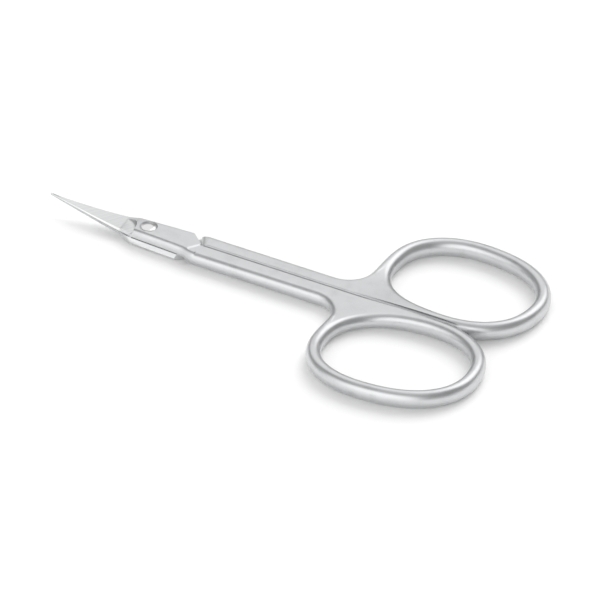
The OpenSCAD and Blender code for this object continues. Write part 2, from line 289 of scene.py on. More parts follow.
def satin_steel():
    material, tree, shader, where = new_material("bead_blasted_stainless_steel")
    grain = noise(tree, where, BLAST_GRAIN_MM, detail=3.0)
    mixed = maths(tree, "ADD", grain, noise(tree, where, CLOUD_MM, detail=2.0))
    tints = ((0.6, "#C6C7C8"), (1.0, "#D4D5D6"))
    vary(tree, shader, mixed, tints, roughness=(0.7, 1.3, 0.30, 0.38))
    bump(tree, shader, grain, strength=0.25, depth_mm=0.01)
    return material


SATIN = satin_steel()

# %% Wheel-ground steel
# A wheel leaves lines 0.02 to 0.05 mm apart that bend with its rim. They are drawn
# 0.2 mm apart, as rings about a point far in front of the tips, which is measured
# from the pivot.
LINE_MM, WHEEL_CENTRE_MM = 0.2, (-40.0, 26.0)


def ground_steel():
    material, tree, shader, where = new_material("wheel_ground_stainless_steel")
    centre = [pivot_x + WHEEL_CENTRE_MM[0] * MM, WHEEL_CENTRE_MM[1] * MM, 0]

    def vector(operation, *inputs):
        sockets = dict(enumerate(inputs))
        return add_node(tree, "ShaderNodeVectorMath", sockets, operation=operation).outputs

    flat = vector("MULTIPLY", vector("SUBTRACT", where, centre)[0], [1, 1, 0])[0]
    lines = add_node(
        tree,
        "ShaderNodeTexNoise",
        {"W": vector("LENGTH", flat)["Value"], "Scale": grain_scale(LINE_MM), "Detail": 4.0},
        noise_dimensions="1D",
    ).outputs[0]
    tints = ((0.3, "#C9CACB"), (0.7, "#DADBDB"))
    vary(tree, shader, lines, tints, roughness=(0.3, 0.7, 0.32, 0.40))
    bump(tree, shader, lines, strength=0.3, depth_mm=0.01)
    return material


GROUND = ground_steel()

# %% Polished steel
# Buffing leaves hardly any lines, so only a very faint wave keeps the metal from
# looking computed.
WAVE_MM, POLISHED_ROUGHNESS = 0.9, 0.12


def polished_steel():
    material, tree, shader, where = new_material("polished_stainless_steel")
    shader.inputs["Base Color"].default_value = linear("#E0E0E0")
    shader.inputs["Roughness"].default_value = POLISHED_ROUGHNESS
    wave = noise(tree, where, WAVE_MM, detail=2.0)
    bump(tree, shader, wave, strength=0.2, depth_mm=0.02)
    return material


POLISHED = polished_steel()
print("steels", SATIN.name, GROUND.name, POLISHED.name)

# %% [markdown]
# ## The forged halves
#
# A half is forged in one piece: blade, joint, shank, web and finger ring. Seen from
# above, its outline follows simple rules. The ring is a superellipse, the shank is
# straight, the web is a hollow corner between them, and the blade is a slim taper.
# So the outline is walked in small steps, each step is given a rounded edge, and
# the edges are skinned. Both halves share this, and the upper one is mirrored.

# %% Sizes of a half, in millimetres
# The ring: its middle and its turn, the half axes of its middle line, its bar, and
# how square the line is and how rounded the bar
ring_reach, ring_offset, ring_turn = 61.2, 13.2, radians(5.4)
ring_half_length, ring_half_width = 15.8, 12.05
ring_bar_w, ring_bar_h, squareness, ring_round = 2.9, 3.7, 2.25, 0.48

# The shank, the web's hollow corner, and the closing edge with its rounded corners
shank_w, shank_h, shank_round, web_fillet = 3.7, 3.2, 1.3, 5.0
seam_gap, seam_reach = 0.1, 11.5
seam_side, seam_round, seam_round_depth, corner_lift = 0.13, 0.34, 0.62, 0.003

# The joint: half its width in front and behind, how far it reaches, its height, and
# its sliding face, which is flat around the screw
joint_front, joint_rear, corner_reach, shoulder_reach = 2.5, 3.05, 2.6, 8.0
joint_h, joint_round = 3.36, 1.0
lap_h, lap_gap, lap_flat = 1.45, 0.04, 2.95
face_step, edge_round = joint_h - shank_h, shank_h / 2
JOINT_STOPS = (0, 0.3, 0.6, 0.85)

# Both flanks of the lower plate: the reach beyond the joint, the height of the widest
# line, the run of its slope, and the width of its rounded underside
flank_out, flank_mid, flank_run, flank_power, flank_under = 0.42, 0.5, 2.0, 1.3, 0.8

# The blades: reach of the tip and the heel, rise of the sliding face, half width, and
# the thickness of the upper and the lower one. The powers bend how these change.
blade_reach, heel_reach, blade_rise, blade_w = 21.5, 5.15, 2.2, 2.05
spine_t, under_spine_t, tip_t, tip_half_w = 1.0, 0.62, 0.22, 0.08
outline_power, thinning_power, under_thinning_power, rise_power = 1.15, 1.2, 0.65, 1.35

# The edges of a blade: the honed bevel's lean and share of the thickness, the lower
# blade's blunt edge, the upright land under the bevel, and the two kinds of back
bevel_lean, bevel_share, edge_t, land = radians(61), 0.55, 0.03, 0.13
spine_round, draw_share, straight_share = 0.2, 0.12, 0.72

# Steps around an edge, the web, the ring, the seam, the blade and the flare
EDGE, FILLET, NECK, FLANK, RING, SEAM, BLADE, FLARE = 16, 20, 10, 4, 132, 16, 44, 10


# %% The ring's superellipse
def turned(x, y):
    return (
        x * cos(ring_turn) + y * sin(ring_turn),
        -x * sin(ring_turn) + y * cos(ring_turn),
    )


def signed_power(v, power):
    return copysign(abs(v) ** power, v)


place_power = 2 / squareness
normal_power = 2 - place_power


def ring_normal(t):
    """The way outwards at t."""
    x = ring_half_width * signed_power(cos(t), normal_power)
    y = ring_half_length * signed_power(sin(t), normal_power)
    size = sqrt(x * x + y * y)
    return turned(x / size, y / size)


def ring_middle(t, out=0.0):
    """A point of the ring's middle line, or out millimetres outside it."""
    x, y = turned(
        ring_half_length * signed_power(cos(t), place_power),
        ring_half_width * signed_power(sin(t), place_power),
    )
    n = ring_normal(t)
    return ring_reach + x + n[0] * out, ring_offset + y + n[1] * out


# The parameter t at the ring's leftmost point, where the seam starts and in the
# web's middle, and the angles over which its bar thins and the web fans out
aspect = ring_half_width / ring_half_length
t_left = pi + atan((tan(ring_turn) * aspect) ** (1 / normal_power))
t_seam = -pi / 2 + atan((tan(ring_turn) / aspect) ** (1 / normal_power))
t_web, blend_angle, rim_angle = radians(222), radians(30), radians(10)
ring_left = ring_middle(t_left)[0] - ring_bar_w / 2
ring_end = 2 * ring_reach - ring_left
web_x = ring_left - web_fillet
print("a half reaches from", -blade_reach, "to", round(ring_end, 2), "mm")


# %% Stops along the outer outline
# A stop is a point of the outline, the way inwards from it, the width of its rounded
# edge there, and the parameter t of the hole's rim across from it.
def ease(s):
    """A share from 0 to 1 that starts and ends gently."""
    return s * s * (3 - 2 * s)


def bar_height(t):
    """The ring's bar thins to the shank where it meets the web."""
    rise = ring_bar_h - shank_h
    if t > t_left - blend_angle:
        return shank_h + rise * ease((t_web - t) / (t_web - t_left + blend_angle))
    if t < t_seam:
        return shank_h + rise * ease((t - t_web + 2 * pi) / (t_seam - t_web + 2 * pi))
    return ring_bar_h


def fillet_stop(k):
    """The web's hollow corner. Its first part belongs to the arm."""
    a = pi / 2 * (k / FILLET - 1)
    share = (k - NECK) / (FILLET - NECK)
    spot = (web_x + web_fillet * cos(a), shank_w + web_fillet * (1 + sin(a)))
    t = t_web + (t_left + rim_angle - t_web) * share
    return spot, (cos(a), sin(a)), shank_round, t


def flank_stop(k):
    """From the web up to the ring's leftmost point."""
    s = k / (FLANK + 1)
    top = ring_middle(t_left, ring_bar_w / 2)[1]
    spot = (ring_left, (shank_w + web_fillet) * (1 - s) + top * s)
    width = shank_round * (1 - s) + ring_bar_w * ring_round * s
    return spot, (1, 0), width, t_left + rim_angle * (1 - s)


def ring_stop(k):
    """Around the ring, down to where the seam starts."""
    t = t_left + (t_seam - t_left) * k / RING
    n = ring_normal(t)
    return ring_middle(t, ring_bar_w / 2), (-n[0], -n[1]), ring_bar_w * ring_round, t


def seam_stop(k):
    """Back along the closing side to the web's neck."""
    s = k / SEAM
    start = ring_middle(t_seam, ring_bar_w / 2)
    end = (fillet_stop(NECK)[0][0], seam_gap / 2 - edge_round)
    spot = tuple(a * (1 - s) + b * s for a, b in zip(start, end))
    width = ring_bar_w * ring_round * (1 - s) + shank_round * s
    return spot, (0, 1), width, t_seam + (t_web - 2 * pi - t_seam) * s


outline = (
    [fillet_stop(k) for k in range(NECK, FILLET + 1)]
    + [flank_stop(k) for k in range(1, FLANK + 1)]
    + [ring_stop(k) for k in range(RING + 1)]
    + [seam_stop(k) for k in range(1, SEAM + 1)]
)
print("stops round the ring:", len(outline))


# %% A rounded edge at one stop
def edge(spot, inward, width, low, mid, high, full=1.0):
    """Points from the lower to the upper rim. full is 1 for a round edge and 0 for
    a pointed one."""
    points = []
    for k in range(EDGE + 1):
        a = pi * (k / EDGE - 0.5)
        c = full * cos(a) + (1 - full) * (1 - abs(a) / (pi / 2))
        s = full * sin(a) + (1 - full) * a / (pi / 2)
        x, y = (p + n * width * (1 - c) for p, n in zip(spot, inward))
        points.append((x, y, mid + s * (high - mid if s > 0 else mid - low)))
    return points


def flank(spot, inward, h):
    """The side of the lower plate: it leans inwards from its widest line upwards."""
    points, half = [], EDGE // 2
    for k in range(EDGE + 1):
        if k < half:
            a = pi / 2 * (1 - k / half)
            run, z = flank_under * (1 - cos(a)), flank_mid * (1 - sin(a))
        else:
            s = (k - half) / half
            run, z = flank_run * s**flank_power, flank_mid + (h - flank_mid) * s
        x, y = (p + n * run for p, n in zip(spot, inward))
        points.append((x, y, z))
    return points


def plate_side(x, w, sign, upper):
    """One side of a joint plate, from its underside to its top."""
    if upper:
        return edge((x, sign * w), (0, -sign), joint_round, 0, shank_h / 2, joint_h)
    return flank((x, sign * (w + flank_out)), (0, -sign), shank_h)


def shank_side(x, w, h=shank_h):
    """The shank's outer side, from its underside to its top."""
    return edge((x, w), (0, -1), shank_round, 0, shank_h / 2, h)


# %% Rings across the joint, the flare and the web
def joint_half(x):
    """Half the joint's width, which grows a little towards the rear."""
    rise = (x + corner_reach) / (shoulder_reach + corner_reach)
    return joint_front + (joint_rear - joint_front) * rise


def joint_ring(x, upper):
    w = joint_half(x)
    return plate_side(x, w, 1, upper) + plate_side(x, w, -1, upper)[::-1]


def flare_ring(s, upper):
    """The joint's own side swings out to the shank, and the other side runs on."""
    x = shoulder_reach + (seam_reach + face_step - shoulder_reach) * s
    k = ease(s)
    plate = plate_side(x, joint_rear, 1, upper)
    shank = shank_side(x, shank_w, joint_h if upper else shank_h)
    near = [tuple(a + (b - a) * k for a, b in zip(*pair)) for pair in zip(plate, shank)]
    return near + plate_side(x, joint_rear, -1, upper)[::-1]


def shank_edge(x):
    """The shank's far side, most of which the closing edge cuts away."""
    spot = (x, seam_gap / 2 - edge_round)
    return edge(spot, (0, 1), edge_round, 0, shank_h / 2, shank_h)[::-1]


def web_ring(k):
    spot, inward, width, _ = fillet_stop(k)
    return edge(spot, inward, width, 0, shank_h / 2, shank_h) + shank_edge(spot[0])


# %% Rings across the blade
def lap_at(r):
    """Height of the sliding face at a distance from the pivot, on the blade side."""
    if r <= lap_flat:
        return lap_h
    return lap_h + blade_rise * ((r - lap_flat) / (blade_reach - lap_flat)) ** rise_power


def blade_half(s):
    """Half a blade's width. s runs from 0 at the heel to 1 at the tip."""
    return tip_half_w + (blade_w - tip_half_w) * (1 - s) ** outline_power


def blade_t(s, upper):
    """A blade's thickness."""
    if upper:
        return tip_t + (spine_t - tip_t) * (1 - s) ** thinning_power
    return tip_t + (under_spine_t - tip_t) * (1 - s) ** under_thinning_power


def blade_ring(s, upper):
    """The sharp side with its bevel, then the back. The blank reaches past the sliding
    face, which is ground into it later."""
    w, x = blade_half(s), -heel_reach - (blade_reach - heel_reach) * s
    f, t = lap_at(sqrt(x * x + w * w)), blade_t(s, upper)
    e, back = t * bevel_share, min(spine_round, w / 2)
    flat = min(land, e / 2)
    bevel = min((e - flat) / tan(bevel_lean), w / 2)
    top = joint_h + blade_rise
    if upper:
        sharp = edge((x, w), (0, -1), bevel, 0, f + flat, f + e, 0)
        return sharp + edge((x, -w), (0, 1), back, 0, f + t / 2, f + t)[::-1]
    sharp = edge((x, w), (0, -1), bevel, f - e, f - edge_t, top, 0)
    drawn = min(t * draw_share, w / 2)
    return sharp + edge((x, -w), (0, 1), drawn, f - t, f - t * straight_share, top)[::-1]


def arm_rings(upper):
    """All rings from the tip to the web, in order."""
    reach, shank_x = shoulder_reach + corner_reach, seam_reach + 2 * face_step
    return (
        [blade_ring(k / BLADE, upper) for k in range(BLADE, -1, -1)]
        + [joint_ring(-corner_reach + reach * s, upper) for s in JOINT_STOPS]
        + [flare_ring(k / FLARE, upper) for k in range(FLARE + 1)]
        + [shank_side(shank_x, shank_w) + shank_edge(shank_x)]
        + [web_ring(k) for k in range(NECK)]
    )


# %% Skin the blank
def forged_blank(name, upper, material):
    """One closed mesh: the arm's rings end in the two rows of the outline's neck, and
    the web and the finger ring close around the hole."""
    rings, row = arm_rings(upper), EDGE + 1
    points = [p for ring in rings for p in ring]
    first, sections = len(points), len(outline) - 1
    for spot, inward, width, t in outline:
        h = bar_height(t)
        points += edge(spot, inward, width, 0, h / 2, h)
    inner = len(points)
    for _, _, _, t in outline[:-1]:
        h, n = bar_height(t), ring_normal(t)
        rim = ring_middle(t, -ring_bar_w / 2)
        points += edge(rim, n, ring_bar_w * ring_round, 0, h / 2, h)
    arm = [[i * 2 * row + k for k in range(2 * row)] for i in range(len(rings))]
    out = [[first + j * row + k for k in range(row)] for j in range(sections + 1)]
    hole = [[inner + j * row + k for k in range(row)] for j in range(sections)]
    neck = out[0] + out[sections][::-1]
    band = [out[j] + hole[j % sections][::-1] for j in range(sections + 1)]
    tip, faces = arm[0], []
    for k in range(EDGE):
        faces.append([tip[k], tip[k + 1], tip[2 * row - 2 - k], tip[2 * row - 1 - k]])
    for a, b in list(zip(arm, arm[1:])) + [(arm[-1], neck)] + list(zip(band, band[1:])):
        for k in range(2 * row):
            m = (k + 1) % (2 * row)
            faces += [[a[k], b[m], a[m]], [a[k], b[k], b[m]]]
    faces.append([out[0][-1], hole[0][-1], out[sections][-1]])
    faces.append([out[0][0], out[sections][0], hole[0][0]])
    return closed_mesh(name, points, faces, material)


# %% [markdown]
# ## Grinding the halves
#
# After forging, wheels and cutters give each half its sliding face, its room for
# the other half, the slots at the lap's rim, its closing edge, the mark at the
# blade's heel and the hole for the screw. Each of these is a closed mesh that is
# taken away from the blank. A cut face takes the finish of the tool that made it.

# %% Sizes of the cuts, in millimetres
# The gap at the shoulder, and the wheel that clears its corner: its radius, where it
# stands, how it is turned, and the rounded edge that it leaves
shoulder_gap, relief_r, relief_lead, relief_turn = 0.12, 0.6, 1.5, radians(25.5)
relief_run, relief_soft = 1.6, 1.25

# The raised joint face: how far it reaches, and the run of its sloped step
face_reach, face_slope = 9.35, 0.4

# The slots at the lap's rim: width, rise at the outside, and from where to where
slot_in, slot_rise, slot_clear, slot_from, slot_to = 0.6, 0.085, 0.05, 2.52, 7.93

# The wheel that marks the heel: its radius, place, rounded rim, bite and slope
scoop_r, scoop_reach, scoop_side, scoop_round = 3.3, 2.15, 1.6, 0.8
scoop_bite, scoop_rise = 0.22, 0.08

# The screw: its shank and head, its riveted end with a domed middle, the clearance
# that lets the lower half turn, and the driver's slot
screw_d, head_d, head_rim, head_sink = 2.4, 3.8, 0.15, 0.1
end_d, end_sink, end_rim, end_dome = 3.2, 0.15, 0.18, 0.30
run_gap, driver_w, driver_depth = 0.03, 0.5, 0.4

# How far a tool reaches past the steel, up and down and to the sides
OVER, ASIDE = 3.2, 6.0

# Steps outwards and around the sliding face, of the relief wheel, of large and small
# corners, and of holes
LAP_STEPS, LAP_TURNS, RELIEF_STEPS, ARC, SMALL_ARC, HOLE_STEPS = 40, 90, 24, 12, 8, 128

# The shoulder's slanted wall: its run and rise, and its normal and distance
shoulder_run, shoulder_rise = seam_reach - shoulder_reach, joint_rear + seam_gap / 2
shoulder_size = sqrt(shoulder_run**2 + shoulder_rise**2)
shoulder_normal = (shoulder_rise / shoulder_size, shoulder_run / shoulder_size)
shoulder_at = shoulder_normal[0] * shoulder_reach + shoulder_normal[1] * joint_rear


# %% The sliding face
def lap_tool(upper):
    """A half cone about the pivot, flat in its middle, on the blade side."""
    shift = lap_gap / 2 if upper else -lap_gap / 2
    far = -OVER if upper else joint_h + blade_rise + OVER
    reach = blade_reach + OVER
    rim = [lap_flat + (reach - lap_flat) * k / LAP_STEPS for k in range(LAP_STEPS + 1)]
    profile = [(0, lap_h + shift)] + [(r, lap_at(r) + shift) for r in rim]
    profile += [(reach, far), (0, far)]
    return lathe("lap", profile, start=90, turn=180, steps=LAP_TURNS, material=GROUND)


# %% The room for the other half
def crossing_tools(upper):
    """A flat cut up to the shoulder, and the wheel that clears the shoulder's corner."""
    face = lap_h + lap_gap / 2 if upper else lap_h - lap_gap / 2
    depth = face if upper else shank_h - face
    low, high = (face - 2 * OVER, face) if upper else (face, face + 2 * OVER)
    stop = shoulder_at + shoulder_gap
    near = [(stop + s * shoulder_normal[1] * ASIDE) / shoulder_normal[0] for s in (1, -1)]
    plan = [(0, -ASIDE), (near[0], -ASIDE), (near[1], ASIDE), (0, ASIDE)]
    flat = prism("crossing", plan, low, high, GROUND)
    top = depth - relief_r
    start, stop = -pi / 2, -asin((relief_soft - top) / relief_r)
    turns = [start + (stop - start) * k / RELIEF_STEPS for k in range(RELIEF_STEPS + 1)]
    wall = [(relief_r * cos(a), relief_r * sin(a)) for a in turns]
    corner = rounded_corner(relief_run, relief_soft, ARC)
    rim = [(wall[-1][0] + x, top + z) for x, z in corner[1:]]
    section = wall + rim + [(rim[-1][0], OVER), (-OVER, OVER), (-OVER, corner_lift - relief_r)]
    lead, up = relief_lead - rim[-1][0], -1 if upper else 1
    rings = [[(lead + x, y, up * z) for x, z in section] for y in (-ASIDE, ASIDE)]
    height = face + up * relief_r
    wheel = skin("relief", rings, GROUND)
    return [flat, place(wheel, seam_reach, 0, height, relief_turn)]


# %% The closing edge between the shanks
def rounded_corner(width, depth, steps=SMALL_ARC):
    """A corner at (0, 0) with its edge rounded, for a tool that leaves it so. It rises
    a little over the corner, so that the cut runs out in the flat."""
    lift = depth + corner_lift
    turns = [pi / 2 * k / steps for k in range(steps + 1)]
    return [(width * (1 - cos(a)), lift * sin(a) - depth) for a in turns]


def seam_tools():
    """The upright closing edge, and one tool for each of its rounded corners."""
    side, deep, end = seam_side, 3 * ring_bar_w, ring_end + 1
    slant = seam_reach - (side + deep) * shoulder_run / shoulder_rise
    body = [(seam_reach, side), (end, side), (end, -deep), (slant, -deep)]
    tools = [prism("seam", body, -OVER, joint_h + OVER, SATIN)]
    for level, up in ((shank_h, 1), (0, -1)):
        curve = [(side + y, z) for y, z in rounded_corner(seam_round, seam_round_depth)]
        top = [(curve[-1][0], OVER), (-deep, OVER)]
        section = curve + top + [(-deep, -seam_round_depth)]
        rings = [[(x, y, level + up * z) for y, z in section] for x in (seam_reach, end)]
        tools.append(skin("seam_round", rings, SATIN))
    return tools


# %% The wheel mark at the heel
def scoop_tools(upper):
    """A wheel with a rounded rim, tilted like the blade. On the upper half it stays
    behind the heel."""
    back = blade_t(0, upper)
    tilt = atan(back * (1 - bevel_share) / (2 * blade_w))
    depth = back * (1 + bevel_share) / 2
    floor = lap_at(sqrt(heel_reach**2 + blade_w**2))
    floor += depth + edge_t if upper else scoop_bite - depth
    inner, turns = scoop_r - scoop_round, [pi / 2 * k / ARC for k in range(ARC + 1)]
    rim = [(inner + scoop_round * sin(a), scoop_round * (1 - cos(a))) for a in turns]
    profile = [(0, 0)] + rim + [(scoop_r, OVER), (0, OVER)]
    wheel = lathe("wheel_mark", profile, material=GROUND)
    place(wheel, 0, scoop_side)
    place(wheel, tilt=-tilt)
    wheel.data.transform(Matrix.Rotation(scoop_rise, 4, "Y"))
    lead = scoop_rise * (scoop_reach + scoop_r - heel_reach)
    place(wheel, -scoop_reach - scoop_r, 0, floor + (lead if upper else -lead), flip=not upper)
    if upper:
        slab = [(-heel_reach, -ASIDE), (0, -ASIDE), (0, ASIDE), (-heel_reach, ASIDE)]
        guard = prism("heel_guard", slab, -OVER, joint_h + 2 * OVER)
        settle(carve(wheel, guard, "INTERSECT"), guard)
    return [wheel]


# %% The raised joint face and the slot at the lap's rim
def face_tool():
    """The wheel that lowers the shank below the joint face. Its rim slopes."""
    run, rise = seam_reach - face_reach, joint_rear
    size = sqrt(run * run + rise * rise)
    back, far, rings = run / rise, seam_reach + 2 * OVER, []
    for lift in (0, OVER):
        near = seam_reach + face_slope * (1 - lift / face_step) * size / rise
        plan = (
            (near + OVER * back, -OVER),
            (far, -OVER),
            (far, 2 * OVER),
            (near - 2 * OVER * back, 2 * OVER),
        )
        rings.append([(x, y, shank_h + lift) for x, y in plan])
    return skin("joint_face", rings, SATIN)


def slot_tools(upper):
    """The sliding faces stand a little apart along both sides of the joint, so that
    no burr can catch there. The slot shows as a dark line."""
    tools, face = [], lap_h + (lap_gap if upper else -lap_gap) / 2
    up, slope = (1 if upper else -1), slot_rise / slot_in
    for side in (1, -1):
        rings = []
        for x in (-slot_from, slot_to):
            w = joint_half(x)
            inner, outer = w - slot_in - slot_clear / slope, w + slot_in
            section = [(inner, -slot_clear), (outer, -slot_clear), (outer, 2 * slot_rise)]
            rings.append([(x, side * y, face + up * z) for y, z in section])
        tools.append(skin("slot", rings, SATIN))
    return tools


# %% The holes for the screw
head_cone, end_cone = (head_d - screw_d) / 2, (end_d - screw_d) / 2
end_z = joint_h - end_sink


def screw_room(upper):
    """The upper half grips the screw. The lower one turns on it with a little room."""
    if upper:
        profile = [
            (0, -OVER),
            (screw_d / 2, -OVER),
            (screw_d / 2, end_z - end_cone),
            (end_d / 2, end_z),
            (end_d / 2 + 2 * end_sink, end_z + 2 * end_sink),
            (0, end_z + 2 * end_sink),
        ]
    else:
        g = run_gap
        profile = [
            (0, -OVER),
            (head_d / 2 + g, -OVER),
            (head_d / 2 + g, head_sink + head_rim + g / 2),
            (screw_d / 2 + g, head_sink + head_rim + head_cone + g / 2),
            (screw_d / 2 + g, joint_h + OVER),
            (0, joint_h + OVER),
        ]
    return lathe("screw_room", profile, steps=HOLE_STEPS, material=SATIN)


# %% Grind both halves
def forged_half(name, upper):
    """A blank with all its cuts made."""
    blank = forged_blank(name, upper, SATIN)
    tools = [lap_tool(upper), *crossing_tools(upper), *slot_tools(upper), *seam_tools()]
    tools += [*scoop_tools(upper), screw_room(upper)]
    if upper:
        tools.append(face_tool())
    for tool in tools:
        carve(blank, tool)
    return settle(blank, *tools)


# %% [markdown]
# ## Smooth and ground surfaces
#
# Steel has no visible facets, but its ground edges are crisp. The exact boolean
# leaves long slivers beside every cut, and slivers make bad normals. So the forged
# faces take theirs from the uncut blank, where each one is known to be right, and
# only the cut faces work theirs out from their own edges.

# %% Shade the halves
CREASE, FLAT_WEIGHT = radians(25), 60

# How near in millimetres, and how parallel, a face is to the blank's if it is one of
# them, and how far its corners are looked up inside it
NEAR, PARALLEL, INSIDE = 1e-4, 0.999, 0.02

# A blade's faces that look up this much are ground. Those that lean further over,
# towards the edge, are its honed bevel.
UPWARD, BEVEL_UP, BEVEL_ASIDE, HEEL_MARGIN = 0.3, 0.6, 0.6, 0.02


def shade(mesh):
    """Smooth, with a crisp line wherever two faces meet at more than the crease."""
    mesh.shade_smooth()
    mesh.set_sharp_from_angle(angle=CREASE)


def weigh_normals(piece):
    """Lets large faces count more than narrow ones, which keeps the flats flat."""
    shade(piece.data)
    weigh = piece.modifiers.new("weigh", "WEIGHTED_NORMAL")
    weigh.keep_sharp, weigh.weight = True, FLAT_WEIGHT
    return settle(piece)


def forged_normals(piece, blank):
    """Gives the faces that lie on the blank the blank's own normals."""
    weigh_normals(blank)
    skin_mesh = blank.data
    corners = [tuple(f.vertices) for f in skin_mesh.polygons]
    spots = [v.co.copy() for v in skin_mesh.vertices]
    tree = BVHTree.FromPolygons(spots, corners, epsilon=0)
    blank_normals = [Vector(n.vector) for n in skin_mesh.corner_normals]
    mesh = piece.data
    own = [Vector(n.vector) for n in mesh.corner_normals]
    found = 0
    for face in mesh.polygons:
        _, normal, _, distance = tree.find_nearest(face.center)
        if distance > NEAR * MM or normal.dot(face.normal) < PARALLEL:
            continue
        found += 1
        for loop in face.loop_indices:
            corner = mesh.vertices[mesh.loops[loop].vertex_index].co
            spot, _, hit, _ = tree.find_nearest(corner.lerp(face.center, INSIDE))
            around = skin_mesh.polygons[hit]
            weights = poly_3d_calc([spots[v] for v in corners[hit]], spot)
            mixed = Vector()
            for weight, l in zip(weights, around.loop_indices):
                mixed += weight * blank_normals[l]
            own[loop] = mixed.normalized()
    mesh.normals_split_custom_set([tuple(n) for n in own])
    print(piece.name, found, "of", len(mesh.polygons), "faces keep the forging's skin")


def finish_half(half, blank):
    """Gives the blade its finishes, and the whole half its normals."""
    mesh = half.data
    if GROUND.name not in mesh.materials:
        mesh.materials.append(GROUND)
    ground = mesh.materials.find(GROUND.name)
    mesh.materials.append(POLISHED)
    honed = len(mesh.materials) - 1
    for face in mesh.polygons:
        if face.center.x > (HEEL_MARGIN - heel_reach) * MM or face.normal.z < UPWARD:
            continue
        bevel = face.normal.z < BEVEL_UP and face.normal.y > BEVEL_ASIDE
        face.material_index = honed if bevel else ground
    weigh_normals(half)
    forged_normals(half, blank)
    bpy.data.objects.remove(blank)


# %% Grind, shade and place both halves
upper_half = forged_half("upper_half_forging", True)
finish_half(upper_half, forged_blank("blank", True, SATIN))
lower_half = forged_half("lower_half_forging", False)
finish_half(lower_half, forged_blank("blank", False, SATIN))


def mirror(piece):
    """A mirror turns a mesh inside out, so its faces are turned back, and the normals
    that were given are mirrored with it."""
    mesh = piece.data
    kept = [n.vector.copy() for n in mesh.corner_normals]
    known = [
        {mesh.loops[l].vertex_index: kept[l] for l in face.loop_indices}
        for face in mesh.polygons
    ]
    mesh.transform(Matrix.Scale(-1, 4, (0, 1, 0)))
    mesh.flip_normals()
    normals = [None] * len(mesh.loops)
    for face, table in zip(mesh.polygons, known):
        for l in face.loop_indices:
            n = table[mesh.loops[l].vertex_index]
            normals[l] = (n.x, -n.y, n.z)
    mesh.normals_split_custom_set(normals)


# Both halves were drawn with the ring on the far side, and the upper one's is near
mirror(upper_half)
for half in (upper_half, lower_half):
    half.data.transform(Matrix.Translation((pivot_x, 0, 0)))
    form = bmesh.new()
    form.from_mesh(half.data)
    open_edges = sum(not e.is_manifold for e in form.edges)
    volume = round(form.calc_volume() / MM**3)
    print(half.name, len(form.faces), "faces,", open_edges, "open edges,", volume, "mm3")
    form.free()

# %% [markdown]
# ## The pivot screw
#
# The screw is turned on a lathe, so its shape is one profile swung about an axis.
# That is a rule that Geometry Nodes can follow: a grid with one row for each point
# of the profile is rolled up around the axis, closed, and slotted. Its inputs are
# the step count and the slot's sizes.

# %% The screw's profile
SCREW_STEPS, DOME_STEPS, SCREW_WELD = 96, 20, 1e-3


def screw_profile():
    """From the head's middle up to the middle of the domed end."""
    dome_r, dome_z = end_d / 2 - end_rim, end_z - end_rim
    points = [
        (0, head_sink),
        (head_d / 2, head_sink),
        (head_d / 2, head_sink + head_rim),
        (screw_d / 2, head_sink + head_rim + head_cone),
        (screw_d / 2, end_z - end_cone),
        (dome_r, dome_z),
    ]
    for k in range(1, DOME_STEPS + 1):
        a = pi / 2 * (1 - k / DOME_STEPS)
        points.append((dome_r * sqrt(sin(a)), dome_z + end_dome * cos(a)))
    return points


